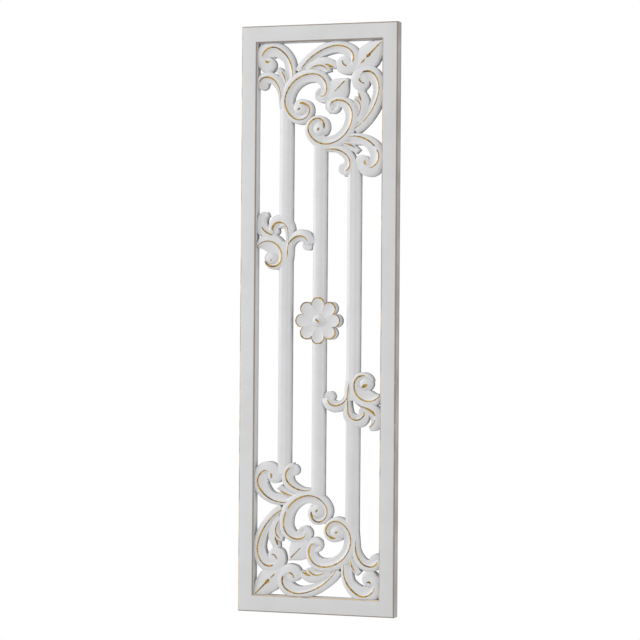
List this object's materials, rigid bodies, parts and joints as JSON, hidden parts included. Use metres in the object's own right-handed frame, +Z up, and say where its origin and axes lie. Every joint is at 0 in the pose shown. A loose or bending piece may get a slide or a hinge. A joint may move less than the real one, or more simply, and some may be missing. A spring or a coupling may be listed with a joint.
{
  "type": "carved wooden wall panel",
  "caption": "Tall narrow wall panel: flat painted wooden frame round one openwork carved board with scrolls, leaves, rounded bars and a flower, ridges rubbed with gold.",
  "frame": {"origin": "middle of the top rail's flat back face, where the panel lies against the wall", "axes": "+Z up along the panel's length, +Y into the wall, the carved front looks toward -Y, +X to the right as seen from the front"},
  "size_m": [0.25, 0.02, 0.9],
  "materials": {
    "frame_paint": "satin white paint on wood, edges rubbed through to brown and gold",
    "carving_paint": "satin white paint on carved wood, ridges rubbed with antique gold"
  },
  "bodies": {
    "root": {"left_stile": "frame_paint", "right_stile": "frame_paint", "top_rail": "frame_paint", "bottom_rail": "frame_paint", "fretwork": "carving_paint"}
  },
  "joints": []
}
